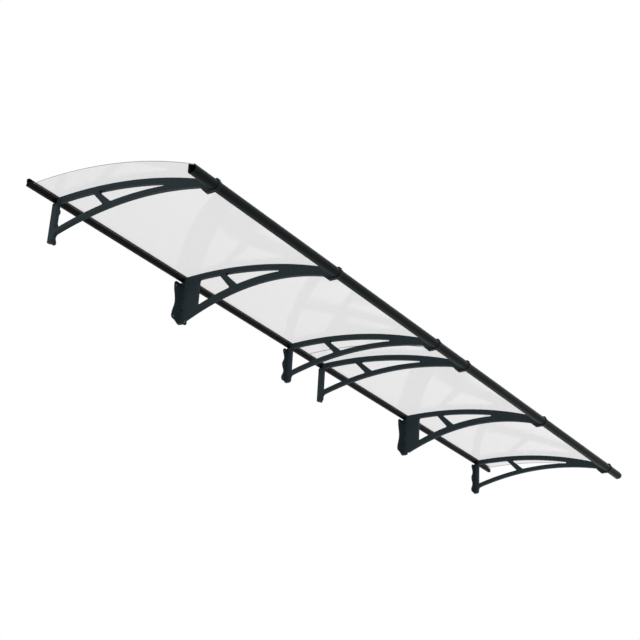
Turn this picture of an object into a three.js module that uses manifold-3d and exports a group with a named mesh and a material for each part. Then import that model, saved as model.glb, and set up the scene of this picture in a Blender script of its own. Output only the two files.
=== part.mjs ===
// Wall-mounted door canopy: two clear sheets side by side, held at the wall and along the front by
// extruded profiles and carried by six moulded support arms.
// Frame: X runs along the canopy, Y points into the wall, Z is up, in millimetres. The wall face is
// the plane Y = 0, and the origin lies on it at mid-length, half way up the wall profile.

import * as THREE from 'three';
import { mergeVertices } from 'three/addons/utils/BufferGeometryUtils.js';
import Module from 'manifold-3d';

const wasm = await Module();
wasm.setup();

// Overall layout
const MODULE_LENGTH = 2050;
const MODULE_COUNT = 2;
const BUTT_GAP = 0.6;
const ARM_OVERHANG = 150;
const FIT = 0.3;

// Curve that the arms' upper edge and the sheet's underside follow
const CURVE_RADIUS = 2150;
const CURVE_APEX_DEPTH = 95;
const CURVE_APEX_HEIGHT = 4;
const SHEET_THICKNESS = 3;
const SHEET_STEPS = 30;

// Wall profile
const WALL_PROFILE_HEIGHT = 38;
const WALL_PROFILE_DEPTH = 23;
const WALL_PROFILE_OVERHANG = 22;
const WALL_BACK_THICKNESS = 5;
const WALL_SKIN = 2.4;
const WALL_HEEL_RADIUS = 10.5;
const WALL_TOE_RADIUS = 3;
const WALL_LIP_DEPTH = 16;
const WALL_BEAD_DROP = 1.6;
const WALL_BEAD_DEPTH = 3;
const WALL_BEAD_RADIUS = 1;
const KEY_SLOT_DEPTH = 2.4;
const KEY_SLOT_MOUTH = 12;
const KEY_SLOT_FLARE = 1.2;
const KEY_LENGTH = 160;

// Front profile
const FRONT_REAR_DEPTH = 872;
const FRONT_SECTION_DEPTH = 41;
const FRONT_SECTION_HEIGHT = 46;
const FRONT_NOSE_RADIUS = 20;
const FRONT_HEEL_RADIUS = 12;
const FRONT_SKIN = 2.2;
const FRONT_LIP_INSET = 10;
const FRONT_LIP_THICKNESS = 2.2;
const FRONT_LIP_RISE = 5.5;
const SLEEVE_LENGTH = 180;
const SLEEVE_SKIN = 3;

// Support arms
const ARM_THICKNESS = 20;
const ARM_EDGE = 1.2;
const TOP_CHORD = 26;
const FOOT_START_INSET = 66;
const FOOT_HEEL_INSET = 26;
const STRUT_TOP_DEPTH = 228;
const STRUT_TOP_WIDTH = 34;
const STRUT_FOOT_DEPTH = 297;
const STRUT_FOOT_WIDTH = 41;
const WINDOW_CORNER = 9;
const WINDOW_TIP_HEIGHT = 5;
const WEB_TOE_DEPTH = 31;
const WEB_TOE_RADIUS = 14;

// Sizes in which the light arms at the ends of a module differ from the heavy one in its middle
const LIGHT_ARM = {
  webDepth: WEB_TOE_DEPTH,
  webBottom: -208,
  rearHeight: -173,
  frontDepth: 37,
  rise: 50,
  lowerChord: 23,
  flangeReach: 26,
  earReach: 40,
  earHeights: [-40, -115, -190],
};
const HEAVY_ARM = {
  webDepth: 107,
  webBottom: -232,
  rearHeight: -195,
  frontDepth: 43,
  rise: 58,
  lowerChord: 33,
  flangeReach: 41,
  earReach: 56,
  earHeights: [-46, -203],
};

// Wall flange of the arms
const FLANGE_THICKNESS = 5;
const EAR_RADIUS = 14;
const WALL_HOLE_DIAMETER = 7;
const FLANGE_CHIN_RADIUS = 29;
const DIMPLE_DIAMETER = 8;
const DIMPLE_DEPTH = 2;
const DIMPLE_DISTANCE = 22;
const DIMPLE_HEIGHTS = [-42, -105, -168];

// Front clip and its screw
const CLIP_WIDTH = 20;
const CLIP_THICKNESS = 3.2;
const CLIP_FINGER_THICKNESS = 7;
const CLIP_FINGER_REACH = 15;
const CLIP_TAIL_INSET = 25;
const SCREW_INSET = 13;
const SCREW_SHANK_DIAMETER = 4.6;
const SCREW_SHANK_LENGTH = 18;
const SCREW_HEAD_DIAMETER = 10;
const SCREW_HEAD_HEIGHT = 3;
const SCREW_SIDES = 12;

// Values worked out from the sizes above
const TOTAL_LENGTH = MODULE_COUNT * MODULE_LENGTH;
const ARM_SPACING = MODULE_LENGTH / 2 - ARM_OVERHANG;
const PIECE_LENGTH = MODULE_LENGTH - BUTT_GAP / 2;
const WALL_PROFILE_LENGTH = PIECE_LENGTH + WALL_PROFILE_OVERHANG;
const PROFILE_TOP = WALL_PROFILE_HEIGHT / 2;
const PROFILE_BOTTOM = -WALL_PROFILE_HEIGHT / 2;
const FRONT_BOTTOM_HEIGHT = curveHeight(FRONT_REAR_DEPTH) - FRONT_SECTION_HEIGHT;
const FRONT_NOSE_DEPTH = FRONT_REAR_DEPTH + FRONT_SECTION_DEPTH - FRONT_NOSE_RADIUS;
const FRONT_NOSE_HEIGHT = FRONT_BOTTOM_HEIGHT + FRONT_NOSE_RADIUS;
const FRONT_LIP_OUTER = FRONT_REAR_DEPTH + FRONT_SECTION_DEPTH - FRONT_LIP_INSET;
const FRONT_LIP_INNER = FRONT_LIP_OUTER - FRONT_LIP_THICKNESS;
const FRONT_LIP_TOP = curveHeight(FRONT_LIP_INNER) + FRONT_LIP_RISE;
const FOOT_START_DEPTH = FRONT_REAR_DEPTH - FOOT_START_INSET;
const FOOT_HEEL_DEPTH = FRONT_REAR_DEPTH - FOOT_HEEL_INSET;
const CLIP_TAIL_DEPTH = FRONT_REAR_DEPTH - CLIP_TAIL_INSET;
const SCREW_DEPTH = FRONT_REAR_DEPTH - SCREW_INSET;
const SHEET_REAR = WALL_BACK_THICKNESS + FIT;
const SHEET_FRONT = FRONT_LIP_INNER - FIT;

// Finishes
const finishes = {
  arm: { color: 0x2a363b, roughness: 0.55, metalness: 0.05 },
  wallProfile: { color: 0x1c1f1e, roughness: 0.5, metalness: 0.55 },
  frontProfile: { color: 0x2f3538, roughness: 0.45, metalness: 0.55 },
  sheet: { color: 0xe9ecea, roughness: 0.12, metalness: 0, transparent: true, opacity: 0.45 },
  rubber: { color: 0x151515, roughness: 0.85, metalness: 0 },
  joiner: { color: 0x8d9194, roughness: 0.4, metalness: 0.9 },
  screw: { color: 0x3a3d3f, roughness: 0.35, metalness: 0.9 },
};

// Height of the arms' upper edge at a distance from the wall
function curveHeight(depth, offset = 0) {
  const radius = CURVE_RADIUS + offset;
  const run = depth - CURVE_APEX_DEPTH;
  return CURVE_APEX_HEIGHT - CURVE_RADIUS + Math.sqrt(radius * radius - run * run);
}

// Height of an arm's lower edge, an arch from its rear web to the start of its foot
function lowerHeight(arm, depth) {
  const front = curveHeight(FOOT_START_DEPTH) - arm.frontDepth;
  const t = (depth - arm.webDepth) / (FOOT_START_DEPTH - arm.webDepth);
  return THREE.MathUtils.lerp(arm.rearHeight, front, t) + 4 * arm.rise * t * (1 - t);
}

// A point with the distance from the wall and the height
function at(depth, height) {
  return new THREE.Vector2(depth, height);
}

// Evenly spaced points along a height curve between two distances from the wall
function along(height, start, end, steps) {
  return Array.from({ length: steps + 1 }, (_, i) => {
    const depth = start + ((end - start) * i) / steps;
    return at(depth, height(depth));
  });
}

// Points of a circular arc, with its angles in degrees
function arc(centre, radius, startAngle, endAngle, steps) {
  return Array.from({ length: steps + 1 }, (_, i) => {
    const angle = THREE.MathUtils.degToRad(startAngle + ((endAngle - startAngle) * i) / steps);
    return at(centre.x + radius * Math.cos(angle), centre.y + radius * Math.sin(angle));
  });
}

// Turns a side-view outline into a piece as long as wanted along the canopy, centred on it
function extrudeAlong(outline, length, holes = [], edge = 0) {
  const shape = new THREE.Shape(outline);
  holes.forEach((hole) => shape.holes.push(new THREE.Path(hole)));
  const geometry = new THREE.ExtrudeGeometry(shape, {
    depth: length - 2 * edge,
    bevelEnabled: edge > 0,
    bevelThickness: edge,
    bevelSize: edge,
    bevelOffset: -edge,
    bevelSegments: 1,
    curveSegments: 12,
  });
  geometry.translate(0, 0, edge - length / 2);
  return geometry;
}

// Merges the corners of a geometry so that only its closed surface is left
function weld(geometry) {
  const plain = geometry.index ? geometry.toNonIndexed() : geometry.clone();
  plain.deleteAttribute('normal');
  plain.deleteAttribute('uv');
  return mergeVertices(plain, 1e-4);
}

function toSolid(geometry) {
  const welded = weld(geometry);
  return new wasm.Manifold(new wasm.Mesh({
    numProp: 3,
    vertProperties: new Float32Array(welded.attributes.position.array),
    triVerts: new Uint32Array(welded.index.array),
  }));
}

function toGeometry(solid) {
  const mesh = solid.getMesh();
  const geometry = new THREE.BufferGeometry();
  geometry.setAttribute('position', new THREE.BufferAttribute(mesh.vertProperties, 3));
  geometry.setIndex(new THREE.BufferAttribute(mesh.triVerts, 1));
  geometry.computeVertexNormals();
  return geometry;
}

// A round bar or hole whose axis points away from the wall, at a place along and up the flange
function wallwardCylinder(radius, length, sideways, height, sides) {
  const geometry = new THREE.CylinderGeometry(radius, radius, length, sides);
  geometry.rotateZ(Math.PI / 2);
  geometry.translate(length / 2, height, sideways);
  return geometry;
}

// Outline of a window between the chords, with its corners drawn round
function windowOutline(arm, start, end) {
  const top = (depth) => curveHeight(depth, -TOP_CHORD);
  const bottom = (depth) => windowFloor(arm, depth);
  const corners = [
    at(start.low, bottom(start.low)),
    at(end.low, bottom(end.low)),
    at(end.high, top(end.high)),
    at(start.high, top(start.high)),
  ];
  const edges = [
    (t) => followHeight(corners[0], corners[1], bottom, t),
    (t) => corners[1].clone().lerp(corners[2], t),
    (t) => followHeight(corners[2], corners[3], top, t),
    (t) => corners[3].clone().lerp(corners[0], t),
  ];
  return roundedLoop(corners, edges);
}

function windowFloor(arm, depth) {
  return lowerHeight(arm, depth) + arm.lowerChord;
}

function followHeight(from, to, height, t) {
  const depth = from.x + (to.x - from.x) * t;
  return at(depth, height(depth));
}

// Joins curved edges into one loop, easing each corner with a short curve
function roundedLoop(corners, edges) {
  const path = new THREE.Path();
  edges.forEach((edge, i) => {
    const next = corners[(i + 1) % corners.length];
    const span = corners[i].distanceTo(next);
    const cut = Math.min(WINDOW_CORNER / span, 0.45);
    const steps = Math.max(1, Math.round(span / 42));
    for (let k = 0; k <= steps; k += 1) {
      const point = edge(cut + ((1 - 2 * cut) * k) / steps);
      if (i === 0 && k === 0) {
        path.moveTo(point.x, point.y);
      } else {
        path.lineTo(point.x, point.y);
      }
    }
    const after = edges[(i + 1) % edges.length];
    const nextSpan = next.distanceTo(corners[(i + 2) % corners.length]);
    const resume = after(Math.min(WINDOW_CORNER / nextSpan, 0.45));
    path.quadraticCurveTo(next.x, next.y, resume.x, resume.y);
  });
  return withoutRepeats(path.getPoints(4));
}

// Leaves out points that repeat the one before them, and a last one that repeats the first
function withoutRepeats(points) {
  const kept = points.filter((point, i) => i === 0 || point.distanceTo(points[i - 1]) > 0.01);
  if (kept[0].distanceTo(kept[kept.length - 1]) < 0.01) {
    kept.pop();
  }
  return kept;
}

// Distance from the wall where the long window narrows to its blunt tip
function windowTipDepth(arm) {
  let depth = STRUT_FOOT_DEPTH + STRUT_FOOT_WIDTH;
  while (curveHeight(depth, -TOP_CHORD) - windowFloor(arm, depth) > WINDOW_TIP_HEIGHT) {
    depth += 0.5;
  }
  return depth;
}

// Side view of an arm: rear web, curved upper and lower edges, and the foot under the front profile
function armOutline(arm) {
  const toe = WEB_TOE_RADIUS;
  const lower = (depth) => lowerHeight(arm, depth);
  const notchDepth = WALL_PROFILE_DEPTH + FIT;
  const frontFace = FRONT_REAR_DEPTH - FIT;
  const chordStart = WEB_TOE_DEPTH + toe;
  return [
    at(0, arm.webBottom),
    ...arc(at(WEB_TOE_DEPTH - toe, arm.webBottom + toe), toe, 270, 360, 5),
    ...along(lower, chordStart, FOOT_START_DEPTH, 18),
    ...footCurve(lower),
    at(frontFace, FRONT_BOTTOM_HEIGHT),
    ...along(curveHeight, frontFace, notchDepth, 22),
    at(notchDepth, PROFILE_BOTTOM - FIT),
    at(0, PROFILE_BOTTOM - FIT),
  ];
}

// The lower edge swings down into the foot that the front clip is screwed to
function footCurve(lower) {
  const start = at(FOOT_START_DEPTH, lower(FOOT_START_DEPTH));
  const heel = at(FOOT_HEEL_DEPTH, FRONT_BOTTOM_HEIGHT);
  const slope = lower(FOOT_START_DEPTH) - lower(FOOT_START_DEPTH - 1);
  const reach = (FOOT_HEEL_DEPTH - FOOT_START_DEPTH) / 2;
  const curve = new THREE.CubicBezierCurve(
    start,
    at(start.x + reach, start.y + slope * reach),
    at(heel.x - reach, heel.y + reach / 2),
    heel,
  );
  return curve.getPoints(7).slice(1);
}

// Plate that lies on the wall, with a rounded ear round each screw hole
function flangeSolid(arm, earSides) {
  const low = Math.min(...arm.earHeights);
  const high = Math.max(...arm.earHeights);
  const left = earSides.includes(-1) ? -arm.flangeReach : -ARM_THICKNESS / 2;
  const right = earSides.includes(1) ? arm.flangeReach : ARM_THICKNESS / 2;
  const strip = new THREE.BoxGeometry(FLANGE_THICKNESS, high - low, right - left);
  strip.translate(FLANGE_THICKNESS / 2, (high + low) / 2, (left + right) / 2);
  let solid = toSolid(strip);
  if (earSides.length > 1) {
    solid = solid.add(toSolid(wallwardCylinder(FLANGE_CHIN_RADIUS, FLANGE_THICKNESS, 0, low, 32)));
  }
  const holes = [];
  earSides.forEach((side) => arm.earHeights.forEach((height) => {
    const sideways = side * (arm.earReach - EAR_RADIUS);
    solid = solid.add(toSolid(wallwardCylinder(EAR_RADIUS, FLANGE_THICKNESS, sideways, height, 24)));
    holes.push(wallwardCylinder(WALL_HOLE_DIAMETER / 2, 3 * FLANGE_THICKNESS, sideways, height, 16)
      .translate(-FLANGE_THICKNESS, 0, 0));
  }));
  return { solid, holes };
}

// Shallow round recess in a side face of the middle arm
function dimple(side, height) {
  const geometry = new THREE.CylinderGeometry(DIMPLE_DIAMETER / 2, DIMPLE_DIAMETER / 2, 2 * DIMPLE_DEPTH, 16);
  geometry.rotateX(Math.PI / 2);
  geometry.translate(DIMPLE_DISTANCE, height, (side * ARM_THICKNESS) / 2);
  return geometry;
}

// Pilot hole that takes the clip screw, from the foot upwards
function pilotHole() {
  const radius = SCREW_SHANK_DIAMETER / 2 + FIT;
  const geometry = new THREE.CylinderGeometry(radius, radius, 2 * SCREW_SHANK_LENGTH, SCREW_SIDES);
  geometry.translate(SCREW_DEPTH, FRONT_BOTTOM_HEIGHT, 0);
  return geometry;
}

// One support arm; the ears of its flange point to the sides given, -1 or 1 across the arm
function armGeometry(arm, earSides) {
  const tip = windowTipDepth(arm);
  const windows = [
    windowOutline(
      arm,
      { low: arm.webDepth, high: arm.webDepth },
      { low: STRUT_FOOT_DEPTH, high: STRUT_TOP_DEPTH },
    ),
    windowOutline(
      arm,
      { low: STRUT_FOOT_DEPTH + STRUT_FOOT_WIDTH, high: STRUT_TOP_DEPTH + STRUT_TOP_WIDTH },
      { low: tip, high: tip },
    ),
  ];
  const flange = flangeSolid(arm, earSides);
  let solid = toSolid(extrudeAlong(armOutline(arm), ARM_THICKNESS, windows, ARM_EDGE));
  solid = solid.add(flange.solid);
  flange.holes.forEach((hole) => {
    solid = solid.subtract(toSolid(hole));
  });
  if (arm === HEAVY_ARM) {
    [-1, 1].forEach((side) => DIMPLE_HEIGHTS.forEach((height) => {
      solid = solid.subtract(toSolid(dimple(side, height)));
    }));
  }
  return toGeometry(solid.subtract(toSolid(pilotHole())));
}

// Channel against the wall: a round-heeled trough under the sheet, a beaded lip above it, and a key
// slot in its back
function wallProfileGeometry() {
  const heel = at(WALL_HEEL_RADIUS, PROFILE_BOTTOM + WALL_HEEL_RADIUS);
  const toe = at(WALL_PROFILE_DEPTH - WALL_TOE_RADIUS, PROFILE_BOTTOM + WALL_TOE_RADIUS);
  const innerRadius = WALL_HEEL_RADIUS - WALL_SKIN;
  const innerStart = 180 + THREE.MathUtils.radToDeg(
    Math.acos((WALL_HEEL_RADIUS - WALL_BACK_THICKNESS) / innerRadius),
  );
  const innerFront = WALL_PROFILE_DEPTH - WALL_SKIN;
  const rim = curveHeight(WALL_PROFILE_DEPTH);
  const mouth = KEY_SLOT_MOUTH / 2;
  const beadRear = WALL_LIP_DEPTH - WALL_BEAD_DEPTH;
  const lipUnder = PROFILE_TOP - WALL_SKIN;
  const bead = at(WALL_LIP_DEPTH - WALL_BEAD_RADIUS, PROFILE_TOP - WALL_BEAD_RADIUS);
  return extrudeAlong([
    ...arc(heel, WALL_HEEL_RADIUS, 180, 270, 6),
    ...arc(toe, WALL_TOE_RADIUS, 270, 360, 4),
    at(WALL_PROFILE_DEPTH, rim),
    at(innerFront, rim),
    at(innerFront, PROFILE_BOTTOM + WALL_SKIN),
    ...arc(heel, innerRadius, 270, innerStart, 4),
    at(WALL_BACK_THICKNESS, lipUnder),
    at(beadRear, lipUnder),
    at(beadRear, lipUnder - WALL_BEAD_DROP),
    at(WALL_LIP_DEPTH, lipUnder - WALL_BEAD_DROP),
    ...arc(bead, WALL_BEAD_RADIUS, 0, 90, 3),
    at(0, PROFILE_TOP),
    at(0, mouth),
    at(KEY_SLOT_DEPTH, mouth + KEY_SLOT_FLARE),
    at(KEY_SLOT_DEPTH, -mouth - KEY_SLOT_FLARE),
    at(0, -mouth),
  ], WALL_PROFILE_LENGTH);
}

// Dovetail key that slides in the slots of both wall profiles and lines them up, flush with the wall
function wallKeyGeometry() {
  const mouth = KEY_SLOT_MOUTH / 2 - FIT;
  const inner = mouth + KEY_SLOT_FLARE;
  return extrudeAlong([
    at(0, -mouth),
    at(KEY_SLOT_DEPTH - FIT, -inner),
    at(KEY_SLOT_DEPTH - FIT, inner),
    at(0, mouth),
  ], KEY_LENGTH);
}

// Soft strip that fills the channel between the sheet and the wall profile's lip
function wallSealGeometry() {
  const sheetTop = (depth) => curveHeight(depth, SHEET_THICKNESS + 2 * FIT);
  const rear = WALL_BACK_THICKNESS + FIT;
  const front = WALL_LIP_DEPTH - WALL_BEAD_DEPTH - FIT;
  const top = PROFILE_TOP - WALL_SKIN - FIT;
  return extrudeAlong([
    at(rear, sheetTop(rear)),
    at(front, sheetTop(front)),
    at(front, top),
    at(rear, top),
  ], PIECE_LENGTH);
}

// Outline of the front profile's body, moved inwards by an inset, without its lip
function frontBody(inset) {
  const heel = at(FRONT_REAR_DEPTH + FRONT_HEEL_RADIUS, FRONT_BOTTOM_HEIGHT + FRONT_HEEL_RADIUS);
  const nose = at(FRONT_NOSE_DEPTH, FRONT_NOSE_HEIGHT);
  const shoulder = THREE.MathUtils.radToDeg(Math.asin(
    (curveHeight(FRONT_LIP_INNER) - inset - FRONT_NOSE_HEIGHT) / (FRONT_NOSE_RADIUS - inset),
  ));
  const shoulderDepth = nose.x + (FRONT_NOSE_RADIUS - inset) * Math.cos(THREE.MathUtils.degToRad(shoulder));
  const top = (depth) => curveHeight(depth) - inset;
  return [
    ...arc(heel, FRONT_HEEL_RADIUS - inset, 180, 270, 6),
    ...arc(nose, FRONT_NOSE_RADIUS - inset, -90, shoulder, 14),
    ...along(top, Math.min(shoulderDepth, FRONT_LIP_INNER) - inset, FRONT_REAR_DEPTH + inset, 3),
  ];
}

// Front profile: a hollow round-nosed tube with a ledge for the sheet and an upright lip in front
function frontProfileGeometry() {
  const heel = at(FRONT_REAR_DEPTH + FRONT_HEEL_RADIUS, FRONT_BOTTOM_HEIGHT + FRONT_HEEL_RADIUS);
  const nose = at(FRONT_NOSE_DEPTH, FRONT_NOSE_HEIGHT);
  const lipAngle = THREE.MathUtils.radToDeg(Math.acos((FRONT_LIP_OUTER - nose.x) / FRONT_NOSE_RADIUS));
  const outline = [
    ...arc(heel, FRONT_HEEL_RADIUS, 180, 270, 6),
    ...arc(nose, FRONT_NOSE_RADIUS, -90, lipAngle, 16),
    at(FRONT_LIP_OUTER, FRONT_LIP_TOP),
    at(FRONT_LIP_INNER, FRONT_LIP_TOP),
    ...along(curveHeight, FRONT_LIP_INNER, FRONT_REAR_DEPTH, 3),
  ];
  return extrudeAlong(outline, PIECE_LENGTH, [frontBody(FRONT_SKIN)]);
}

// Sleeve that sits inside both front profiles across their joint
function frontSleeveGeometry() {
  const outer = frontBody(FRONT_SKIN + FIT);
  const inner = frontBody(FRONT_SKIN + FIT + SLEEVE_SKIN);
  return extrudeAlong(outer, SLEEVE_LENGTH, [inner]);
}

// Clear sheet, curved from the wall profile to the lip of the front profile
function sheetGeometry() {
  const under = (depth) => curveHeight(depth, FIT);
  const over = (depth) => curveHeight(depth, FIT + SHEET_THICKNESS);
  return extrudeAlong([
    ...along(under, SHEET_REAR, SHEET_FRONT, SHEET_STEPS),
    ...along(over, SHEET_FRONT, SHEET_REAR, SHEET_STEPS),
  ], PIECE_LENGTH);
}

// Clip that runs from under the foot round the front profile and hooks over its lip and the sheet
function clipGeometry() {
  const nose = at(FRONT_NOSE_DEPTH, FRONT_NOSE_HEIGHT);
  const innerRadius = FRONT_NOSE_RADIUS + FIT;
  const outerRadius = innerRadius + CLIP_THICKNESS;
  const face = FRONT_LIP_OUTER + FIT;
  const innerAngle = THREE.MathUtils.radToDeg(Math.acos((face - nose.x) / innerRadius));
  const outerAngle = THREE.MathUtils.radToDeg(Math.acos((face + CLIP_THICKNESS - nose.x) / outerRadius));
  const underFinger = FRONT_LIP_TOP + FIT;
  const fingerEnd = face - CLIP_FINGER_REACH;
  const sheetTop = (depth) => curveHeight(depth, SHEET_THICKNESS + 2 * FIT);
  const contact = clipContactDepth(sheetTop, underFinger);
  const tailTop = FRONT_BOTTOM_HEIGHT - FIT;
  const fingerTop = underFinger + CLIP_FINGER_THICKNESS;
  const body = toSolid(extrudeAlong([
    at(CLIP_TAIL_DEPTH, tailTop - CLIP_THICKNESS),
    ...arc(nose, outerRadius, -90, outerAngle, 14),
    at(face + CLIP_THICKNESS, fingerTop - CLIP_THICKNESS),
    at(face, fingerTop),
    at(fingerEnd + CLIP_THICKNESS, fingerTop),
    at(fingerEnd, sheetTop(fingerEnd) + CLIP_THICKNESS),
    at(fingerEnd, sheetTop(fingerEnd)),
    at(contact, underFinger),
    at(face, underFinger),
    ...arc(nose, innerRadius, innerAngle, -90, 14),
    at(CLIP_TAIL_DEPTH, tailTop),
  ], CLIP_WIDTH));
  const radius = SCREW_SHANK_DIAMETER / 2 + FIT;
  const hole = new THREE.CylinderGeometry(radius, radius, 4 * CLIP_THICKNESS, SCREW_SIDES);
  hole.translate(SCREW_DEPTH, tailTop, 0);
  return toGeometry(body.subtract(toSolid(hole)));
}

// Distance from the wall where the clip's finger comes down to the sheet
function clipContactDepth(sheetTop, underFinger) {
  let depth = FRONT_LIP_INNER;
  while (sheetTop(depth) < underFinger) {
    depth -= 0.25;
  }
  return depth;
}

// Round-headed screw, driven upwards through the clip into the foot
function screwGeometry() {
  const shank = SCREW_SHANK_DIAMETER / 2;
  const head = SCREW_HEAD_DIAMETER / 2;
  const profile = [
    new THREE.Vector2(0, -SCREW_HEAD_HEIGHT),
    ...[0.55, 0.85, 1].map((t) => new THREE.Vector2(
      head * t,
      -SCREW_HEAD_HEIGHT * Math.sqrt(1 - 0.85 * t * t),
    )),
    new THREE.Vector2(head, 0),
    new THREE.Vector2(shank, 0),
    new THREE.Vector2(shank, SCREW_SHANK_LENGTH - shank),
    new THREE.Vector2(shank / 2, SCREW_SHANK_LENGTH - shank / 2),
    new THREE.Vector2(0, SCREW_SHANK_LENGTH - shank / 2),
  ];
  const geometry = new THREE.LatheGeometry(profile, SCREW_SIDES);
  geometry.translate(SCREW_DEPTH, FRONT_BOTTOM_HEIGHT - FIT - CLIP_THICKNESS - FIT, 0);
  return geometry;
}

function meshOf(name, geometry, finish, along = 0) {
  const mesh = new THREE.Mesh(weld(geometry), new THREE.MeshStandardMaterial(finish));
  mesh.name = name;
  mesh.geometry.computeVertexNormals();
  mesh.position.z = -along;
  return mesh;
}

// The side view is drawn with the distance from the wall to the right and the height upwards, and
// this group turns it so that pieces run along X
const canopy = new THREE.Group();
canopy.setRotationFromMatrix(new THREE.Matrix4().makeBasis(
  new THREE.Vector3(0, -1, 0),
  new THREE.Vector3(0, 0, 1),
  new THREE.Vector3(-1, 0, 0),
));

const moduleNames = ['left', 'right'];
moduleNames.forEach((side, i) => {
  const outward = i === 0 ? -1 : 1;
  const centre = outward * (TOTAL_LENGTH / 2 - PIECE_LENGTH / 2);
  canopy.add(meshOf(`sheet_${side}`, sheetGeometry(), finishes.sheet, centre));
  const profileCentre = outward * (TOTAL_LENGTH / 2 + WALL_PROFILE_OVERHANG - WALL_PROFILE_LENGTH / 2);
  canopy.add(meshOf(`wall_profile_${side}`, wallProfileGeometry(), finishes.wallProfile, profileCentre));
  canopy.add(meshOf(`wall_seal_${side}`, wallSealGeometry(), finishes.rubber, centre));
  canopy.add(meshOf(`front_profile_${side}`, frontProfileGeometry(), finishes.frontProfile, centre));
});
canopy.add(meshOf('wall_key', wallKeyGeometry(), finishes.joiner));
canopy.add(meshOf('front_sleeve', frontSleeveGeometry(), finishes.joiner));

// Each module has an arm with its flange to the right, one with it to both sides and one to the left
const armPatterns = [
  { arm: LIGHT_ARM, earSides: [-1] },
  { arm: HEAVY_ARM, earSides: [-1, 1] },
  { arm: LIGHT_ARM, earSides: [1] },
];
for (let i = 0; i < MODULE_COUNT * armPatterns.length; i += 1) {
  const module = Math.floor(i / armPatterns.length);
  const place = i % armPatterns.length;
  const { arm, earSides } = armPatterns[place];
  const moduleCentre = (module - (MODULE_COUNT - 1) / 2) * MODULE_LENGTH;
  const along = moduleCentre + (place - 1) * ARM_SPACING;
  const number = i + 1;
  canopy.add(meshOf(`arm_${number}`, armGeometry(arm, earSides), finishes.arm, along));
  canopy.add(meshOf(`front_clip_${number}`, clipGeometry(), finishes.arm, along));
  canopy.add(meshOf(`clip_screw_${number}`, screwGeometry(), finishes.screw, along));
}

const doorCanopy = new THREE.Group();
doorCanopy.add(canopy);

export default doorCanopy;
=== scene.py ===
"""Wall-mounted door canopy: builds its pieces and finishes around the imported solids.

X runs along the canopy, Y points into the wall and Z is up, in metres. The wall face is the plane
Y = 0, and the origin lies on it at mid-length, half way up the wall profile.
"""

import math

import bmesh
import bpy
from bpy.props import FloatProperty, FloatVectorProperty, IntProperty, PointerProperty
from mathutils import Matrix, Vector


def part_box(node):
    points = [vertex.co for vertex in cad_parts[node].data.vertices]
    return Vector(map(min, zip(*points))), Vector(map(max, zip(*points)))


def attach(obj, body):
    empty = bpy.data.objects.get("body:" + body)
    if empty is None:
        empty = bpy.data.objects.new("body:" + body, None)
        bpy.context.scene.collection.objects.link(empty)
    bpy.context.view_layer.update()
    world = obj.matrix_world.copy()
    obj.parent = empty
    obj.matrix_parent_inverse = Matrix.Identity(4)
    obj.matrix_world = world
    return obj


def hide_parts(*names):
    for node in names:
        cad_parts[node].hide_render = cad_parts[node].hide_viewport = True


bl_info = {
    "name": "Door Canopy",
    "version": (1, 0, 0),
    "blender": (4, 5, 0),
    "location": "View3D > Sidebar > Canopy",
    "description": "Builds a wall-mounted door canopy with its finishes, lamps and camera",
    "category": "Object",
}

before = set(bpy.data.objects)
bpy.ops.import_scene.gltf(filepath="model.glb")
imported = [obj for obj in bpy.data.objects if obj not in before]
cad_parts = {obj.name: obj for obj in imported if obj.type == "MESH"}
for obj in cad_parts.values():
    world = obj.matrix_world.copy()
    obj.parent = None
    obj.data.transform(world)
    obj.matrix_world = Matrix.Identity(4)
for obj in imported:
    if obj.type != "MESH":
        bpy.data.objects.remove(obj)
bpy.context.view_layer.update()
ARM_COUNT = 6
SCREW_STEPS = 32
DIMPLES = 3
# Corners closer together than this count as one, in metres
JOIN_DISTANCE = 1e-6
# Sharper edges than these stay sharp in the shading, and are eased by a small bevel
SHARP_ANGLE = math.radians(38)
EASE_ANGLE = math.radians(40)
# Faces of a sheet that are narrower than this are its cut edges, in metres
CUT_WIDTH = 0.0035
# Spacing of the points along a window, and the largest share of a side that a corner may take
WINDOW_STEP = 0.012
LONGEST_EASE = 0.45
# Steps in which the tip of the long window and the contact of the clip's finger are searched
TIP_STEP = 0.0005
CONTACT_STEP = 0.00025
# Radius of the upper corners of the clip's finger, as a share of its thickness
FINGER_ROUNDING = 0.55
MIDDLE_ARMS = (2, 5)
SIDES = ("left", "right")
# Sides to which the wall flange of each arm reaches: 1 is towards +X and -1 towards -X
FLANGE_SIDES = {1: (1,), 2: (-1, 1), 3: (-1,), 4: (1,), 5: (-1, 1), 6: (-1,)}
# Side views are drawn as distance from the wall and height; this turns them to run along X
SIDE_VIEW = Matrix(((0, 0, -1, 0), (-1, 0, 0, 0), (0, 1, 0, 0), (0, 0, 0, 1)))
# Front views are drawn as distance along the canopy and height; this lays their back on the wall
FRONT_VIEW = Matrix(((1, 0, 0, 0), (0, 0, -1, 0), (0, 1, 0, 0), (0, 0, 0, 1)))


# Sizes and colours


def length(name, default, description):
    """A length in metres that a user can change."""
    return FloatProperty(name=name, description=description, default=default, unit="LENGTH", precision=4)


def colour(name, default, description):
    """A linear colour that a user can change."""
    return FloatVectorProperty(
        name=name, description=description, default=default, size=3, subtype="COLOR", min=0, max=1
    )


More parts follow.
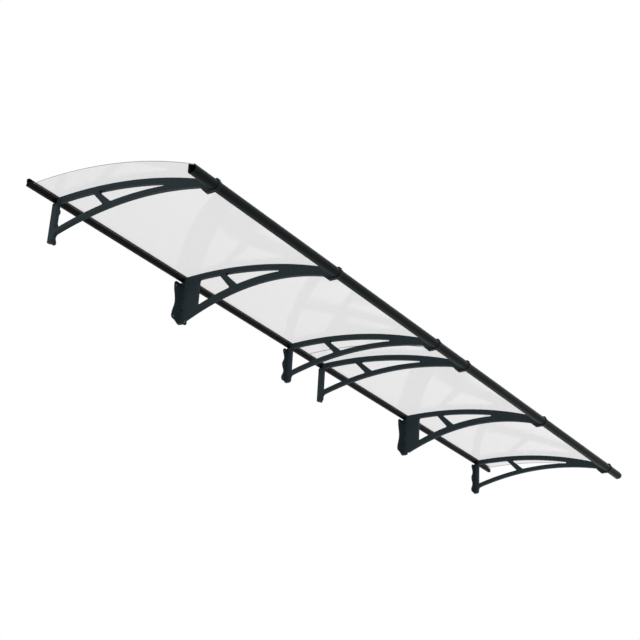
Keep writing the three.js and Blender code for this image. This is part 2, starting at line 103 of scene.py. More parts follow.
class CanopySizes(bpy.types.PropertyGroup):
    """Sizes that the sheets, profiles and arms share."""

    curve_radius: length("Curve radius", 2.150, "Radius of the arms' upper edge in side view")
    apex_depth: length("Apex depth", 0.095, "Distance from the wall at which the curve is highest")
    apex_height: length("Apex height", 0.004, "Height of the curve at its highest point")
    sheet_thickness: length("Sheet thickness", 0.003, "Thickness of the clear sheets")
    fit: length("Fit", 0.0003, "Clearance between neighbouring pieces")
    wall_height: length("Wall profile height", 0.038, "Height of the wall profile")
    wall_depth: length("Wall profile depth", 0.023, "Depth of the wall profile below the sheet")
    wall_back: length("Wall profile back", 0.005, "Thickness of the wall profile's back")
    wall_skin: length("Wall profile skin", 0.0024, "Thickness of the wall profile's other walls")
    wall_heel: length("Wall profile heel", 0.0105, "Radius of the wall profile's lower rear corner")
    wall_toe: length("Wall profile toe", 0.003, "Radius of the wall profile's lower front corner")
    lip_depth: length("Wall lip depth", 0.016, "Distance from the wall to the front of the upper lip")
    bead_depth: length("Bead depth", 0.003, "Depth of the bead along the upper lip")
    bead_drop: length("Bead drop", 0.0016, "How far the bead hangs below the upper lip")
    key_mouth: length("Key slot mouth", 0.012, "Height of the key slot where it opens towards the wall")
    key_depth: length("Key slot depth", 0.0024, "Depth of the key slot in the wall profile's back")
    key_flare: length("Key slot flare", 0.0012, "How far the key slot widens on each side")
    front_rear: length("Front profile rear", 0.872, "Distance from the wall to the front profile's rear face")
    front_depth: length("Front profile depth", 0.041, "Depth of the front profile")
    front_height: length("Front profile height", 0.046, "Height of the front profile's rear face")
    nose_radius: length("Nose radius", 0.020, "Radius of the front profile's nose")
    heel_radius: length("Heel radius", 0.012, "Radius of the front profile's lower rear corner")
    front_skin: length("Front profile skin", 0.0022, "Wall thickness of the front profile")
    front_lip_inset: length("Front lip inset", 0.010, "Distance from the nose back to the front lip")
    front_lip_rise: length("Front lip rise", 0.0055, "Height of the front lip above the ledge")


class ArmSizes(bpy.types.PropertyGroup):
    """Sizes that all six support arms share."""

    thickness: length("Arm thickness", 0.020, "Thickness of an arm along the canopy")
    edge: length("Arm edge", 0.0016, "Radius on the long edges of an arm")
    top_chord: length("Top chord", 0.026, "Height of the bar along the curve")
    foot_start: length("Foot start", 0.066, "Distance from the front profile back to the start of the foot")
    foot_heel: length("Foot heel", 0.026, "Distance from the front profile back to the foot's flat underside")
    strut_top: length("Strut top", 0.228, "Distance from the wall to the top of the strut")
    strut_top_width: length("Strut top width", 0.034, "Width of the strut at its top")
    strut_foot: length("Strut foot", 0.297, "Distance from the wall to the foot of the strut")
    strut_foot_width: length("Strut foot width", 0.041, "Width of the strut at its foot")
    window_corner: length("Window corner", 0.009, "Length over which a window's corner is eased")
    window_tip: length("Window tip", 0.010, "Height of the blunt tip of the long window")
    toe_depth: length("Web toe depth", 0.031, "Distance from the wall to the front of the rear web")
    toe_radius: length("Web toe radius", 0.014, "Radius of the rear web's lower front corner")
    flange_thickness: length("Flange thickness", 0.005, "Thickness of the flange on the wall")
    flange_edge: length("Flange edge", 0.0008, "Radius on the edges of the flange")
    ear_radius: length("Ear radius", 0.014, "Radius of an ear of the flange")
    hole_radius: length("Wall hole radius", 0.0035, "Radius of a screw hole in the flange")
    chin_drop: length("Chin drop", 0.015, "How far the flange of a middle arm reaches below its ears")
    dimple_radius: length("Dimple radius", 0.0045, "Radius of a dimple in the web of a middle arm")
    dimple_depth: length("Dimple depth", 0.006, "Depth of a dimple in the web of a middle arm")
    dimple_distance: length("Dimple distance", 0.022, "Distance from the wall to the row of dimples")
    dimple_pitch: length("Dimple pitch", 0.063, "Distance between two dimples")
    dimple_top: length("Dimple top", -0.042, "Height of the topmost dimple")


class EndArmSizes(bpy.types.PropertyGroup):
    """Sizes of the light arms, at both ends of each pair of profiles."""

    web_depth: length("Web depth", 0.031, "Distance from the wall to the first window")
    web_bottom: length("Web bottom", -0.208, "Height of the lowest point of the rear web")
    rear_height: length("Rear height", -0.173, "Height of the lower edge at the web")
    front_depth: length("Front depth", 0.037, "Height of the arm at the start of its foot")
    rise: length("Rise", 0.050, "Rise of the lower edge above a straight line")
    lower_chord: length("Lower chord", 0.023, "Height of the bar along the lower edge")
    waist: length("Flange waist", 0.026, "Reach of the flange between its ears")
    ear_reach: length("Ear reach", 0.040, "Reach of the flange at its ears")
    top_ear: length("Top ear", -0.040, "Height of the topmost ear")
    bottom_ear: length("Bottom ear", -0.190, "Height of the lowest ear")
    shoulder: length("Shoulder", 0.0, "How far the flange goes on above its topmost ear")
    ears: IntProperty(name="Ears", description="Number of ears on one side", default=3, min=2)


class MiddleArmSizes(bpy.types.PropertyGroup):
    """Sizes of the heavy arms, in the middle of each pair of profiles."""

    web_depth: length("Web depth", 0.107, "Distance from the wall to the first window")
    web_bottom: length("Web bottom", -0.232, "Height of the lowest point of the rear web")
    rear_height: length("Rear height", -0.195, "Height of the lower edge at the web")
    front_depth: length("Front depth", 0.043, "Height of the arm at the start of its foot")
    rise: length("Rise", 0.058, "Rise of the lower edge above a straight line")
    lower_chord: length("Lower chord", 0.033, "Height of the bar along the lower edge")
    waist: length("Flange waist", 0.041, "Reach of the flange between its ears")
    ear_reach: length("Ear reach", 0.056, "Reach of the flange at its ears")
    top_ear: length("Top ear", -0.046, "Height of the topmost ear")
    bottom_ear: length("Bottom ear", -0.203, "Height of the lowest ear")
    shoulder: length("Shoulder", 0.008, "How far the flange goes on above its topmost ear")
    ears: IntProperty(name="Ears", description="Number of ears on one side", default=2, min=2)


class ClipSizes(bpy.types.PropertyGroup):
    """Sizes of the front clips and their screws."""

    width: length("Clip width", 0.020, "Width of a clip along the canopy")
    thickness: length("Clip thickness", 0.0032, "Thickness of a clip's strip")
    edge: length("Clip edge", 0.0007, "Radius on the edges of a clip")
    finger_thickness: length("Finger thickness", 0.007, "Thickness of the finger over the front lip")
    finger_reach: length("Finger reach", 0.015, "Reach of the finger back over the sheet")
    tail: length("Clip tail", 0.025, "Distance from the front profile back to the end of the clip")
    screw_inset: length("Screw inset", 0.013, "Distance from the front profile back to the screw")
    shank_radius: length("Screw shank radius", 0.0023, "Radius of the screw's shank")
    shank_length: length("Screw shank length", 0.018, "Length of the screw's shank")
    head_radius: length("Screw head radius", 0.005, "Radius of the screw's head")
    head_height: length("Screw head height", 0.003, "Height of the screw's head")
    recess_width: length("Recess width", 0.0011, "Width of the cross recess")
    recess_span: length("Recess span", 0.0054, "Length of the cross recess")
    recess_depth: length("Recess depth", 0.0017, "Depth of the cross recess")


class CanopyColours(bpy.types.PropertyGroup):
    """Colours of the finishes."""

    arm: colour("Arms", (0.0200, 0.0330, 0.0390), "Moulded plastic of the arms")
    clip: colour("Clips", (0.0085, 0.0150, 0.0170), "Moulded plastic of the clips")
    wall_profile: colour("Wall profile", (0.0026, 0.0034, 0.0032), "Coating of the wall profile")
    front_profile: colour("Front profile", (0.0115, 0.0155, 0.0160), "Coating of the front profile")
    sheet: colour("Sheet", (0.66, 0.68, 0.665), "Tint of the clear sheets")
    sheet_edge: colour("Sheet edge", (0.30, 0.33, 0.32), "Cut edges of the clear sheets")
    rubber: colour("Seal", (0.008, 0.008, 0.008), "Rubber of the seals")
    joiner: colour("Joiner", (0.27, 0.28, 0.29), "Bare metal of the key and the sleeve")
    screw: colour("Screw", (0.055, 0.058, 0.062), "Dark plating of the screws")


class StageSizes(bpy.types.PropertyGroup):
    """Camera, lamps and background."""

    azimuth: FloatProperty(
        name="Azimuth", description="Direction the camera looks in, from +Y towards +X",
        default=math.radians(54.81), subtype="ANGLE",
    )
    elevation: FloatProperty(
        name="Elevation", description="How steeply the camera looks up",
        default=math.radians(24.23), subtype="ANGLE",
    )
    roll: FloatProperty(
        name="Roll", description="Turn of the camera about its own axis",
        default=math.radians(-3.43), subtype="ANGLE",
    )
    place: FloatVectorProperty(
        name="Camera place", description="Where the camera stands",
        default=(-5.638, -4.065, -2.915), size=3, subtype="TRANSLATION", unit="LENGTH",
    )
    lens: FloatProperty(
        name="Lens", description="Focal length in millimetres on a 36 mm wide sensor", default=80.14,
    )
    ambient: FloatProperty(
        name="Ambient", description="Strength of the even light from straight above", default=0.85,
    )
    ambient_below: FloatProperty(
        name="Ambient below", description="Strength of the even light from straight below", default=0.25,
    )
    key: FloatProperty(name="Key", description="Strength of the key lamp", default=1.4)
    key_direction: FloatVectorProperty(
        name="Key direction", description="Direction in which the key lamp shines",
        default=(0.42, 0.50, -0.76), size=3, subtype="DIRECTION",
    )


# Drawing in side view


def curve_height(sizes, depth, offset=0.0):
    """Height of the arms' upper edge at a distance from the wall."""
    radius = sizes.curve_radius + offset
    run = depth - sizes.apex_depth
    return sizes.apex_height - sizes.curve_radius + math.sqrt(radius * radius - run * run)


def between(start, end, steps):
    """Evenly spaced values from start to end."""
    return [start + (end - start) * i / steps for i in range(steps + 1)]


def follow(height, start, end, steps):
    """Points along a height curve between two distances from the wall."""
    return [(depth, height(depth)) for depth in between(start, end, steps)]


def arc(centre, radius, start, end, steps):
    """Points of a circular arc, with its angles in degrees."""
    return [
        (centre[0] + radius * math.cos(math.radians(a)), centre[1] + radius * math.sin(math.radians(a)))
        for a in between(start, end, steps)
    ]


def circle(centre, radius, steps=32):
    """A closed circle."""
    return arc(centre, radius, 0, 360, steps)[:-1]


def mix_points(start, end, t):
    """The point at a share of the way from start to end."""
    return (start[0] + (end[0] - start[0]) * t, start[1] + (end[1] - start[1]) * t)


def bend(start, corner, end, steps):
    """Inner points of a short curve that eases a corner."""
    points = []
    for t in between(0, 1, steps)[1:-1]:
        points.append(mix_points(mix_points(start, corner, t), mix_points(corner, end, t), t))
    return points


def eased_loop(corners, edges, ease):
    """Joins curved edges into one loop and eases each corner."""
    spans = [math.dist(corners[i], corners[(i + 1) % len(corners)]) for i in range(len(corners))]
    cuts = [min(ease / span, LONGEST_EASE) for span in spans]
    loop = []
    for i, edge in enumerate(edges):
        steps = max(2, round(spans[i] / WINDOW_STEP))
        loop += [edge(t) for t in between(cuts[i], 1 - cuts[i], steps)]
        after = (i + 1) % len(edges)
        loop += bend(loop[-1], corners[after], edges[after](cuts[after]), 7)
    return loop


# Turning outlines into pieces


def section_mesh(name, loops, thickness, turn, place=(0, 0, 0), edge=0.0):
    """Fills closed outlines, gives them a thickness with rounded edges and turns them into place."""
    curve = bpy.data.curves.new(name, "CURVE")
    curve.dimensions = "2D"
    curve.fill_mode = "BOTH"
    curve.extrude = thickness / 2 - edge
    curve.bevel_depth = edge
    curve.bevel_resolution = 3
    curve.offset = -edge
    for loop in loops:
        spline = curve.splines.new("POLY")
        spline.points.add(len(loop) - 1)
        for point, (x, y) in zip(spline.points, loop):
            point.co = (x, y, 0, 1)
        spline.use_cyclic_u = True
    drawing = bpy.data.objects.new(name, curve)
    bpy.context.scene.collection.objects.link(drawing)
    mesh = bpy.data.meshes.new_from_object(drawing.evaluated_get(bpy.context.evaluated_depsgraph_get()))
    bpy.data.objects.remove(drawing)
    mesh.materials.clear()
    mesh.transform(Matrix.Translation(place) @ turn)
    return clean_mesh(mesh)


def clean_mesh(mesh):
    """Joins the corners that lie together and turns all faces outwards."""
    work = bmesh.new()
    work.from_mesh(mesh)
    bmesh.ops.remove_doubles(work, verts=work.verts, dist=JOIN_DISTANCE)
    bmesh.ops.recalc_face_normals(work, faces=work.faces)
    work.to_mesh(mesh)
    work.free()
    return mesh


def joined(name, meshes):
    """One mesh made of several."""
    work = bmesh.new()
    for mesh in meshes:
        work.from_mesh(mesh)
    whole = bpy.data.meshes.new(name)
    work.to_mesh(whole)
    work.free()
    return whole


def add_piece(name, mesh, finish, nodes, ease=0.0):
    """Puts a finished piece on the object in place of its solids."""
    piece = bpy.data.objects.new(name, mesh)
    bpy.context.scene.collection.objects.link(piece)
    mesh.name = name
    for material in finish if isinstance(finish, (list, tuple)) else [finish]:
        mesh.materials.append(material)
    mesh.polygons.foreach_set("use_smooth", [True] * len(mesh.polygons))
    mesh.set_sharp_from_angle(angle=SHARP_ANGLE)
    if ease:
        rounding = piece.modifiers.new("Eased edges", "BEVEL")
        rounding.width = ease
        rounding.segments = 2
        rounding.limit_method = "ANGLE"
        rounding.angle_limit = EASE_ANGLE
    flat = piece.modifiers.new("Flat faces", "WEIGHTED_NORMAL")
    flat.keep_sharp = True
    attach(piece, "root")
    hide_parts(*nodes)
    return piece


def dress_solid(node, finish):
    """Gives a solid that stays as it is its finish."""
    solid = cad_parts[node]
    solid.data.materials.clear()
    solid.data.materials.append(finish)


def combined(mesh, other, operation):
    """One closed mesh made of two, by a boolean operation."""
    piece = bpy.data.objects.new("piece", mesh)
    tool = bpy.data.objects.new("tool", other)
    for helper in (piece, tool):
        bpy.context.scene.collection.objects.link(helper)
    step = piece.modifiers.new("Combine", "BOOLEAN")
    step.object = tool
    step.operation = operation
    step.solver = "EXACT"
    result = bpy.data.meshes.new_from_object(piece.evaluated_get(bpy.context.evaluated_depsgraph_get()))
    for helper in (piece, tool):
        bpy.data.objects.remove(helper)
    if not result.polygons:
        raise RuntimeError("nothing was left of a piece after combining it")
    return clean_mesh(result)


def cut_out(mesh, cutters):
    """The mesh with the cutters taken away from it."""
    return combined(mesh, joined("cutting tool", cutters), "DIFFERENCE")


def middle_of(node):
    """Place of a solid's middle along the canopy."""
    low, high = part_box(node)
    return (low[0] + high[0]) / 2


def span_of(node):
    """Length of a solid along the canopy."""
    low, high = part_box(node)
    return high[0] - low[0]


# Finishes


class Value:
    """A number that changes from place to place; sums with it add Math nodes."""

    def __init__(self, shading, socket):
        self.shading = shading
        self.socket = socket

    def _math(self, operation, *terms):
        sockets = dict(enumerate(terms))
        node = self.shading.node("ShaderNodeMath", {"operation": operation}, sockets)
        return Value(self.shading, node.outputs[0])

    def __add__(self, other):
        return self._math("ADD", self, other)

    def __radd__(self, other):
        return self._math("ADD", other, self)

    def __mul__(self, other):
        return self._math("MULTIPLY", self, other)

    def __rmul__(self, other):
        return self._math("MULTIPLY", other, self)

    def __or__(self, other):
        return self._math("MAXIMUM", self, other)

    def __ror__(self, other):
        return self._math("MAXIMUM", other, self)


class Shading:
    """The nodes of a material or of the surroundings."""

    def __init__(self, owner):
        owner.use_nodes = True
        self.tree = owner.node_tree
        self.tree.nodes.clear()

    def node(self, kind, settings=None, sockets=None):
        """Adds a node, sets its settings and then the values or links of its sockets."""
        node = self.tree.nodes.new(kind)
        for name, value in (settings or {}).items():
            setattr(node, name, value)
        for name, value in (sockets or {}).items():
            self.plug(node.inputs[name], value)
        return node

    def plug(self, socket, value):
        """Links a value to a socket, or sets the socket to it."""
        if isinstance(value, Value):
            value = value.socket
        if isinstance(value, bpy.types.NodeSocket):
            self.tree.links.new(value, socket)
        else:
            socket.default_value = value


class Finish(Shading):
    """A material that is built node by node around one Principled shader."""

    def __init__(self, name):
        self.material = bpy.data.materials.new(name)
        super().__init__(self.material)
        self.shader = self.node("ShaderNodeBsdfPrincipled")
        self.node("ShaderNodeOutputMaterial", sockets={"Surface": self.shader.outputs[0]})
        self.place = self.node("ShaderNodeTexCoord").outputs["Object"]

    def set(self, **values):
        """Sets sockets of the shader; an underscore in a name stands for a space."""
        for name, value in values.items():
            self.plug(self.shader.inputs[name.replace("_", " ")], value)

    def noise(self, scale, stretch=(1, 1, 1), detail=3.0):
        """Soft noise between 0 and 1, stretched along the axes."""
        place = self.node(
            "ShaderNodeVectorMath", {"operation": "MULTIPLY"}, {0: self.place, 1: stretch}
        ).outputs[0]
        node = self.node("ShaderNodeTexNoise", None, {"Vector": place, "Scale": scale, "Detail": detail})
        return Value(self, node.outputs[0])

    def mix(self, factor, first, second):
        """Blends two colours."""
        node = self.node("ShaderNodeMix", {"data_type": "RGBA"}, {0: factor, 6: first, 7: second})
        return node.outputs[2]

    def bump(self, height, strength, distance):
        """Small relief for the shader's Normal."""
        node = self.node(
            "ShaderNodeBump", None, {"Height": height, "Strength": strength, "Distance": distance}
        )
        return node.outputs[0]


def shaded(tone, share):
    """A colour made lighter or darker by a share, with its alpha."""
    return tuple(min(1.0, part * share) for part in tone) + (1.0,)


def moulded_plastic(name, tone):
    """Dark moulded plastic with a fine satin grain."""
    finish = Finish(name)
    clouds = finish.noise(7)
    grain = finish.noise(1400, detail=2)
    finish.set(
        Base_Color=finish.mix(clouds, shaded(tone, 0.88), shaded(tone, 1.14)),
        Roughness=0.44 + clouds * 0.10,
        IOR=1.20,
        Normal=finish.bump(grain, 0.25, 0.00012),
    )
    return finish.material


def coated_metal(name, tone, roughness):
    """Aluminium profile with a smooth dark coating, faintly drawn out along its length."""
    finish = Finish(name)
    lines = finish.noise(1, stretch=(0.8, 420, 420), detail=4)
    clouds = finish.noise(4)
    finish.set(
        Base_Color=finish.mix(lines, shaded(tone, 0.85), shaded(tone, 1.18)),
        Roughness=roughness - 0.05 + clouds * 0.10,
        IOR=1.13,
        Normal=finish.bump(lines, 0.10, 0.00008),
    )
    return finish.material


def clear_plastic(tone):
    """Clear sheet with a faint milky tint."""
    finish = Finish("Clear sheet")
    haze = finish.noise(2.2)
    finish.set(
        Base_Color=finish.mix(haze, shaded(tone, 0.97), shaded(tone, 1.03)),
        Roughness=0.04 + haze * 0.04,
        IOR=1.58,
        Alpha=0.17,
    )
    return finish.material


def sheet_cut(tone):
    """Cut edge of a clear sheet, where the tint gathers."""
    finish = Finish("Sheet cut edge")
    saw = finish.noise(900)
    finish.set(
        Base_Color=finish.mix(saw, shaded(tone, 0.9), shaded(tone, 1.1)),
        Roughness=0.30 + saw * 0.15,
        Alpha=0.92,
    )
    return finish.material


def soft_rubber(tone):
    """Matt rubber with a dusty bloom."""
    finish = Finish("Seal rubber")
    bloom = finish.noise(60)
    finish.set(
        Base_Color=finish.mix(bloom, shaded(tone, 0.8), shaded(tone, 1.6)),
        Roughness=0.78 + bloom * 0.12,
    )
    return finish.material


def bare_metal(name, tone, roughness):
    """Uncoated metal with fine drawing lines."""
    finish = Finish(name)
    lines = finish.noise(1, stretch=(6, 900, 900))
    finish.set(
        Base_Color=finish.mix(lines, shaded(tone, 0.9), shaded(tone, 1.1)),
        Metallic=1.0,
        Roughness=roughness + lines * 0.12,
    )
    return finish.material


# Sheets and profiles


def front_lip(sizes):
    """Inner and outer face of the front lip, as distances from the wall."""
    outer = sizes.front_rear + sizes.front_depth - sizes.front_lip_inset
    return outer - sizes.front_skin, outer


def sheet_loop(sizes):
    """Section of a clear sheet, from the wall profile to the front lip."""
    rear = sizes.wall_back + sizes.fit
    front = front_lip(sizes)[0] - sizes.fit
    under = follow(lambda d: curve_height(sizes, d, sizes.fit), rear, front, 90)
    over = follow(lambda d: curve_height(sizes, d, sizes.fit + sizes.sheet_thickness), front, rear, 90)
    return under + over


def wall_loop(sizes):
    """Section of the wall profile: trough, beaded lip above the sheet, and key slot in the back."""
    top = sizes.wall_height / 2
    bottom = -top
    heel = (sizes.wall_heel, bottom + sizes.wall_heel)
    toe = (sizes.wall_depth - sizes.wall_toe, bottom + sizes.wall_toe)
    inner_radius = sizes.wall_heel - sizes.wall_skin
    inner_start = 180 + math.degrees(math.acos((sizes.wall_heel - sizes.wall_back) / inner_radius))
    inner_front = sizes.wall_depth - sizes.wall_skin
    rim = curve_height(sizes, sizes.wall_depth)
    bead_rear = sizes.lip_depth - sizes.bead_depth
    under_lip = top - sizes.wall_skin
    edge = sizes.wall_skin / 2
    mouth = sizes.key_mouth / 2
    return [
        *arc(heel, sizes.wall_heel, 180, 270, 14),
        *arc(toe, sizes.wall_toe, 270, 360, 8),
        *arc((sizes.wall_depth - edge, rim - edge), edge, 0, 180, 10),
        (inner_front, bottom + sizes.wall_skin),
        *arc(heel, inner_radius, 270, inner_start, 10),
        (sizes.wall_back, under_lip),
        (bead_rear, under_lip),
        (bead_rear, under_lip - sizes.bead_drop),
        (sizes.lip_depth, under_lip - sizes.bead_drop),
        *arc((sizes.lip_depth - edge, top - edge), edge, 0, 90, 8),
        (0, top),
        (0, mouth),
        (sizes.key_depth, mouth + sizes.key_flare),
        (sizes.key_depth, -mouth - sizes.key_flare),
        (0, -mouth),
    ]


def front_body(sizes, inset, lip):
    """Section of the front profile, moved inwards by an inset, with or without its lip."""
    bottom = curve_height(sizes, sizes.front_rear) - sizes.front_height
    heel = (sizes.front_rear + sizes.heel_radius, bottom + sizes.heel_radius)
    nose = (sizes.front_rear + sizes.front_depth - sizes.nose_radius, bottom + sizes.nose_radius)
    inner, outer = front_lip(sizes)
    radius = sizes.nose_radius - inset
    if lip:
        end = math.degrees(math.acos((outer - nose[0]) / radius))
        crest = curve_height(sizes, inner) + sizes.front_lip_rise
        ridge = arc(((inner + outer) / 2, crest - (outer - inner) / 2), (outer - inner) / 2, 0, 180, 10)
    else:
        end = math.degrees(math.asin((curve_height(sizes, inner) - inset - nose[1]) / radius))
        ridge = []
    return [
        *arc(heel, sizes.heel_radius - inset, 180, 270, 14),
        *arc(nose, radius, -90, end, 36),
        *ridge,
        *follow(lambda d: curve_height(sizes, d) - inset, inner - inset, sizes.front_rear + inset, 6),
    ]


# Support arms


def lower_height(sizes, arms, arm, depth):
    """Height of an arm's lower edge, an arch from its rear web to the start of its foot."""
    start = sizes.front_rear - arms.foot_start
    front = curve_height(sizes, start) - arm.front_depth
    t = (depth - arm.web_depth) / (start - arm.web_depth)
    return arm.rear_height + (front - arm.rear_height) * t + 4 * arm.rise * t * (1 - t)


def foot_points(sizes, arms, lower):
    """The lower edge swings down into the foot that the clip is screwed to."""
    start_depth = sizes.front_rear - arms.foot_start
    heel = (sizes.front_rear - arms.foot_heel, curve_height(sizes, sizes.front_rear) - sizes.front_height)
    start = (start_depth, lower(start_depth))
    reach = (heel[0] - start[0]) / 2
    probe = 0.001
    slope = (lower(start_depth) - lower(start_depth - probe)) / probe
    first = (start[0] + reach, start[1] + slope * reach)
    second = (heel[0] - reach, heel[1] + reach / 2)
    points = []
    for t in between(0, 1, 20)[1:]:
        a = mix_points(start, first, t)
        b = mix_points(first, second, t)
        c = mix_points(second, heel, t)
        points.append(mix_points(mix_points(a, b, t), mix_points(b, c, t), t))
    return points


def arm_loop(sizes, arms, arm):
    """Side view of an arm, with its notch for the wall profile and its foot."""
    toe = arms.toe_radius
    notch = sizes.wall_depth + sizes.fit
    notch_bottom = -sizes.wall_height / 2 - sizes.fit
    face = sizes.front_rear - sizes.fit
    foot = curve_height(sizes, sizes.front_rear) - sizes.front_height

    def lower(depth):
        return lower_height(sizes, arms, arm, depth)

    heel = (arms.toe_depth, max(lower(arms.toe_depth) - toe, arm.web_bottom + toe))
    knee = (arms.toe_depth, max(lower(arms.toe_depth), heel[1]))
    return [
        (0, arm.web_bottom),
        *arc((arms.toe_depth - toe, arm.web_bottom + toe), toe, 270, 360, 14),
        *bend(heel, knee, (arms.toe_depth + toe, lower(arms.toe_depth + toe)), 8),
        *follow(lower, arms.toe_depth + toe, sizes.front_rear - arms.foot_start, 80),
        *foot_points(sizes, arms, lower),
        (face, foot),
        *follow(lambda d: curve_height(sizes, d), face, notch, 90),
        (notch, notch_bottom),
        (0, notch_bottom),
    ]


def window_loop(sizes, arms, arm, start, end):
    """A window between the chords; start and end give its lower and upper distance from the wall."""

    def top(depth):
        return curve_height(sizes, depth, -arms.top_chord)

    def bottom(depth):
        return lower_height(sizes, arms, arm, depth) + arm.lower_chord

    def edge(height, first, last):
        return lambda t: (first + (last - first) * t, height(first + (last - first) * t))

    corners = [
        (start[0], bottom(start[0])),
        (end[0], bottom(end[0])),
        (end[1], top(end[1])),
        (start[1], top(start[1])),
    ]
    edges = [
        edge(bottom, start[0], end[0]),
        lambda t: mix_points(corners[1], corners[2], t),
        edge(top, end[1], start[1]),
        lambda t: mix_points(corners[3], corners[0], t),
    ]
    return eased_loop(corners, edges, arms.window_corner)


def window_tip(sizes, arms, arm):
    """Distance from the wall where the long window narrows to its blunt tip."""
    depth = arms.strut_foot + arms.strut_foot_width
    while True:
        floor = lower_height(sizes, arms, arm, depth) + arm.lower_chord
        if curve_height(sizes, depth, -arms.top_chord) - floor <= arms.window_tip:
            return depth
        depth += TIP_STEP


def ear_heights(arm):
    """Heights of the ears on one side of the flange."""
    return between(arm.top_ear, arm.bottom_ear, arm.ears - 1)


def wavy_edge(arms, arm, side):
    """Edge of the flange from top to bottom, which swells into an ear round each screw hole."""
    radius = arms.ear_radius
    centre = arm.ear_reach - radius
    heights = ear_heights(arm)
    pitch = heights[0] - heights[1]
    points = arc((centre, heights[0] + arm.shoulder), radius, 90, 0, 10)
    for height in between(heights[0], heights[-1], 72)[1:-1]:
        nearest = min(abs(height - ear) for ear in heights)
        swell = (1 + math.cos(2 * math.pi * nearest / pitch)) / 2
        points.append((arm.waist + (arm.ear_reach - arm.waist) * swell, height))
    points += arc((centre, heights[-1]), radius, 0, -90, 10)
    return [(side * x, y) for x, y in points]


def flange_loops(arms, arm, sides):
    """Front view of the flange on the wall, with its screw holes."""
    heights = ear_heights(arm)
    top = heights[0] + arm.shoulder + arms.ear_radius
    bottom = heights[-1] - arms.ear_radius
    half = arms.thickness / 2
    edges = {side: [(side * half, top), (side * half, bottom)] for side in (-1, 1)}
    holes = []
    for side in sides:
        edges[side] = wavy_edge(arms, arm, side)
        holes += [circle((side * (arm.ear_reach - arms.ear_radius), ear), arms.hole_radius) for ear in heights]
    chin = []
    if len(sides) > 1:
        width = arm.ear_reach - arms.ear_radius
        for x in between(width, -width, 24)[1:-1]:
            drop = (1 + math.cos(math.pi * x / width)) / 2
            chin.append((x, bottom - arms.chin_drop * drop))
    return [edges[1] + chin + edges[-1][::-1], *holes]


def screw_hole_cutter(sizes, clips, x):
    """Round cutter for the hole that a clip screw takes through the clip and up into the foot."""
    foot = curve_height(sizes, sizes.front_rear) - sizes.front_height
    return section_mesh(
        "screw hole", [circle((0, 0), clips.shank_radius + sizes.fit)], 2 * clips.shank_length,
        Matrix.Identity(4), place=(x, -(sizes.front_rear - clips.screw_inset), foot),
    )


def dimple_cutters(arms, x):
    """Round cutters for the dimples in both faces of a middle arm."""
    cutters = []
    for side in (-1, 1):
        for i in range(DIMPLES):
            centre = (arms.dimple_distance, arms.dimple_top - i * arms.dimple_pitch)
            cutters.append(section_mesh(
                "dimple", [circle(centre, arms.dimple_radius, 24)], 2 * arms.dimple_depth, SIDE_VIEW,
                place=(x + side * arms.thickness / 2, 0, 0),
            ))
    return cutters


def arm_mesh(sizes, arms, arm, clips, x, sides, dimpled):
    """One whole support arm: bars, web, strut, wall flange and the hole for the clip screw."""
    tip = window_tip(sizes, arms, arm)
    loops = [
        arm_loop(sizes, arms, arm),
        window_loop(sizes, arms, arm, (arm.web_depth, arm.web_depth), (arms.strut_foot, arms.strut_top)),
        window_loop(
            sizes, arms, arm,
            (arms.strut_foot + arms.strut_foot_width, arms.strut_top + arms.strut_top_width), (tip, tip),
        ),
    ]
    body = section_mesh("arm body", loops, arms.thickness, SIDE_VIEW, place=(x, 0, 0), edge=arms.edge)
    cutters = [screw_hole_cutter(sizes, clips, x)]
    if dimpled:
        cutters += dimple_cutters(arms, x)
    body = cut_out(body, cutters)
    flange = section_mesh(
        "arm flange", flange_loops(arms, arm, sides), arms.flange_thickness, FRONT_VIEW,
        place=(x, -arms.flange_thickness / 2, 0), edge=arms.flange_edge,
    )
    return combined(body, flange, "UNION")


# Clips and screws


def clip_loop(sizes, clips):
    """Side view of a clip: under the foot, round the nose and over the front lip."""
    bottom = curve_height(sizes, sizes.front_rear) - sizes.front_height
    nose = (sizes.front_rear + sizes.front_depth - sizes.nose_radius, bottom + sizes.nose_radius)
    inner_radius = sizes.nose_radius + sizes.fit
    outer_radius = inner_radius + clips.thickness
    inner_lip, outer_lip = front_lip(sizes)
    face = outer_lip + sizes.fit
    under = curve_height(sizes, inner_lip) + sizes.front_lip_rise + sizes.fit
    end = face - clips.finger_reach
    tail = sizes.front_rear - clips.tail
    inner_angle = math.degrees(math.acos((face - nose[0]) / inner_radius))
    outer_angle = math.degrees(math.acos((face + clips.thickness - nose[0]) / outer_radius))

    def sheet_top(depth):
        return curve_height(sizes, depth, sizes.sheet_thickness + 2 * sizes.fit)

    contact = inner_lip
    while sheet_top(contact) < under:
        contact -= CONTACT_STEP
    top = under + clips.finger_thickness
    crown = clips.finger_thickness * FINGER_ROUNDING
    return [
        (tail, bottom - sizes.fit - clips.thickness),
        *arc(nose, outer_radius, -90, outer_angle, 36),
        *arc((face + clips.thickness - crown, top - crown), crown, 0, 90, 10),
        *arc((end + crown, top - crown), crown, 90, 180, 10),
        (end, sheet_top(end)),
        (contact, under),
        (face, under),
        *arc(nose, inner_radius, inner_angle, -90, 36),
        (tail, bottom - sizes.fit),
    ]


